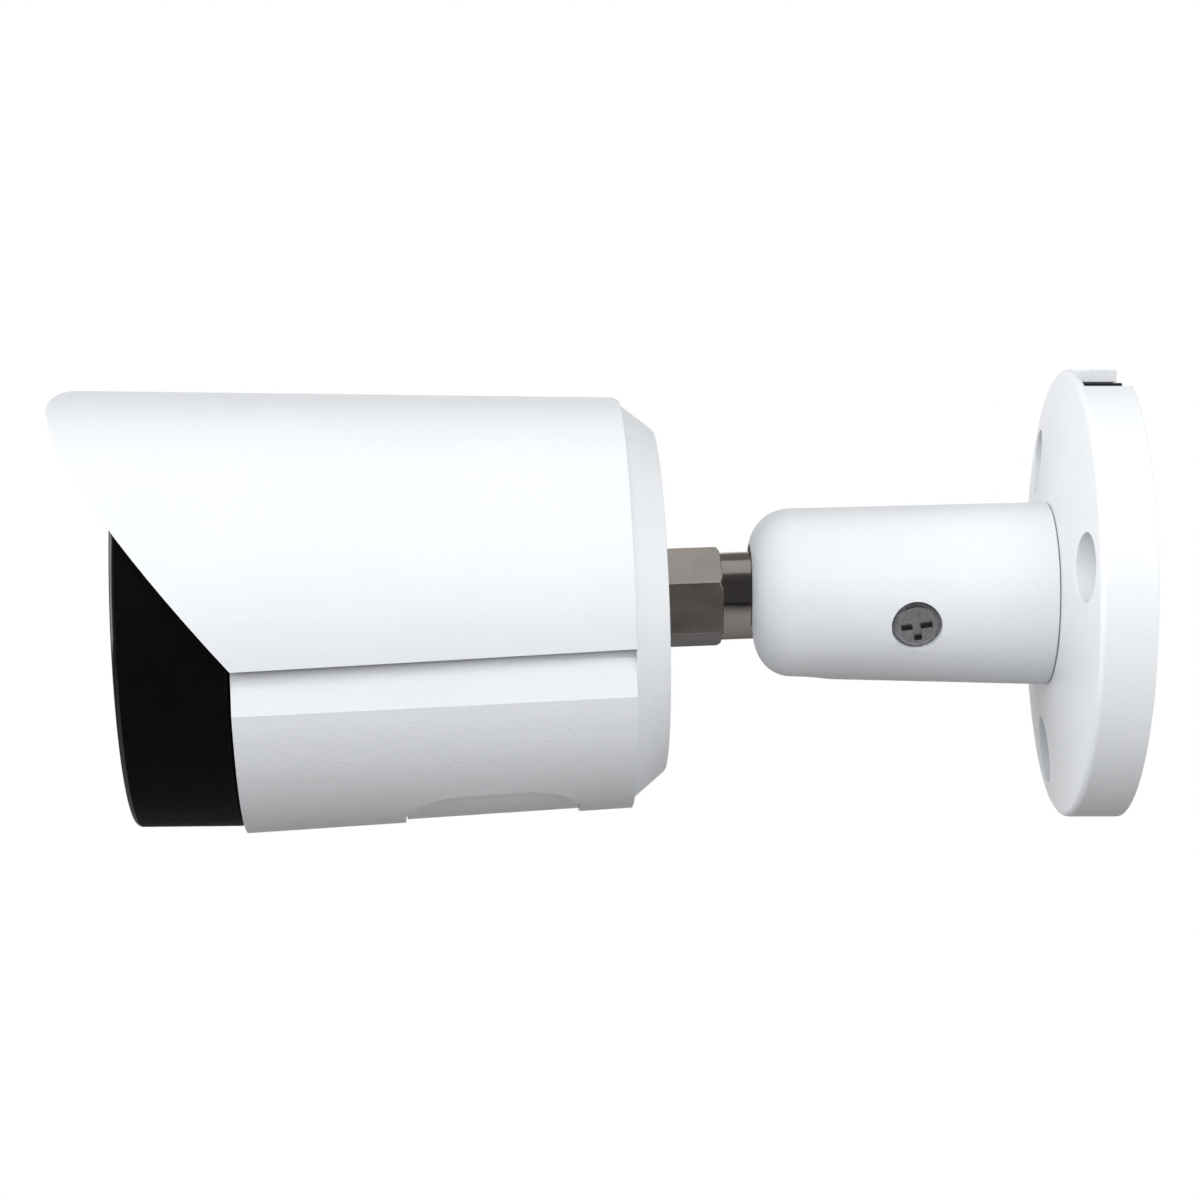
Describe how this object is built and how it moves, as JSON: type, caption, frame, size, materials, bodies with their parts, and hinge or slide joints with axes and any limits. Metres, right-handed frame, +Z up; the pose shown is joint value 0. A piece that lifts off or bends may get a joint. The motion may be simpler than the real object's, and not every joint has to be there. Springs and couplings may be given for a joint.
{
  "type": "security camera",
  "caption": "Weatherproof bullet camera with a sunshield and a dark front window, on a wall bracket that pans, tilts and rotates on a ball joint.",
  "frame": {"origin": "centre of the bracket's mounting face, on the wall plane", "axes": "+Y into the wall, -Y the way the camera looks, +Z up, +X to the side that the clamp screw is on"},
  "size_m": [0.0724, 0.1655, 0.0721],
  "materials": {
    "white_shell": "fine textured white powder coat",
    "black_plastic": "fine textured matte black",
    "black_rubber": "moulded rubber",
    "nickel": "bright nickel plate",
    "screw_steel": "turned steel",
    "brass": "machined brass",
    "circuit_board": "green solder mask",
    "chip": "moulded black",
    "dark_glass": "dark tinted glass",
    "lens_glass": "coated optical glass",
    "white_plastic": "moulded natural plastic",
    "flex_film": "amber film"
  },
  "bodies": {
    "base": {"wall_flange": "white_shell", "back_pad": "black_rubber"},
    "bracket_neck": {"neck": "white_shell", "neck_washer": "screw_steel", "neck_retaining_ring": "screw_steel", "cable_grommet": "black_rubber", "pressure_seat": "brass"},
    "head": {"rear_cap": "white_shell", "rear_cap_o_ring": "black_rubber", "rear_cap_screws": "screw_steel", "housing": "white_shell", "sunshield": "white_shell", "sunshield_screws": "screw_steel", "front_bezel": "black_plastic", "bezel_o_ring": "black_rubber", "glass_gasket": "black_rubber", "front_glass": "dark_glass", "lens_shroud": "black_rubber", "led_board": "circuit_board", "led_board_posts": "brass", "ir_leds": "lens_glass", "light_sensor": "chip", "lens_barrel": "black_plastic", "lens_elements": "lens_glass", "lens_holder": "black_plastic", "ir_cut_coil": "brass", "image_sensor": "chip", "sensor_board": "circuit_board", "sensor_board_posts": "brass", "inner_frame": "chip", "frame_screws": "screw_steel", "main_board": "circuit_board", "board_screws": "screw_steel", "processor": "chip", "card_socket": "screw_steel", "reset_switch": "screw_steel", "board_connector": "white_plastic", "ribbon_cable": "flex_film"},
    "clamp": {"clamp_screw": "screw_steel"},
    "shaft": {"ball_shaft": "nickel", "shaft_o_ring": "black_rubber", "shaft_washer": "brass", "shaft_nut": "screw_steel"},
    "filter_slide": {"ir_cut_frame": "chip", "ir_cut_filters": "lens_glass"},
    "card": {"memory_card": "chip"},
    "reset": {"reset_button": "black_plastic"},
    "service_cover": {"access_cover": "white_shell", "cover_seal": "black_rubber"},
    "cover_fastener": {"cover_screw": "screw_steel"}
  },
  "joints": [
    {"name": "pan", "type": "hinge", "parent": "base", "child": "bracket_neck", "pos_m": [0, -0.012, 0], "axis": [0, 1, 0], "range_deg": [-180, 180]},
    {"name": "clamp_screw_turn", "type": "hinge", "parent": "bracket_neck", "child": "clamp", "pos_m": [0.01057, -0.033, -0.00427], "axis": [0.9272, 0, -0.3746], "range_deg": [0, 270]},
    {"name": "tilt", "type": "hinge", "parent": "bracket_neck", "child": "shaft", "pos_m": [0, -0.05, 0], "axis": [0.9272, 0, -0.3746], "range_deg": [-2.2, 87.8]},
    {"name": "rotate", "type": "hinge", "parent": "shaft", "child": "head", "pos_m": [0.00083, -0.07997, -0.00107], "axis": [0.0275, -0.999, -0.0356], "range_deg": [-180, 180]},
    {"name": "filter_change", "type": "slide", "parent": "head", "child": "filter_slide", "axis": [0.9996, 0.0275, 0.0012], "range_m": [0, 0.007]},
    {"name": "card_slide", "type": "slide", "parent": "head", "child": "card", "axis": [-0.0275, 0.999, 0.0356], "range_m": [0, 0.011]},
    {"name": "reset_press", "type": "slide", "parent": "head", "child": "reset", "axis": [-0.0003, -0.0356, 0.9994], "range_m": [0, 0.0006], "stiffness_N_per_m": 400},
    {"name": "cover_lift", "type": "slide", "parent": "head", "child": "service_cover", "axis": [0.0003, 0.0356, -0.9994], "range_m": [0, 0.015]},
    {"name": "cover_screw_turn", "type": "hinge", "parent": "service_cover", "child": "cover_fastener", "pos_m": [0.00136, -0.09807, -0.03203], "axis": [0.0003, 0.0356, -0.9994], "range_deg": [0, 270]}
  ]
}
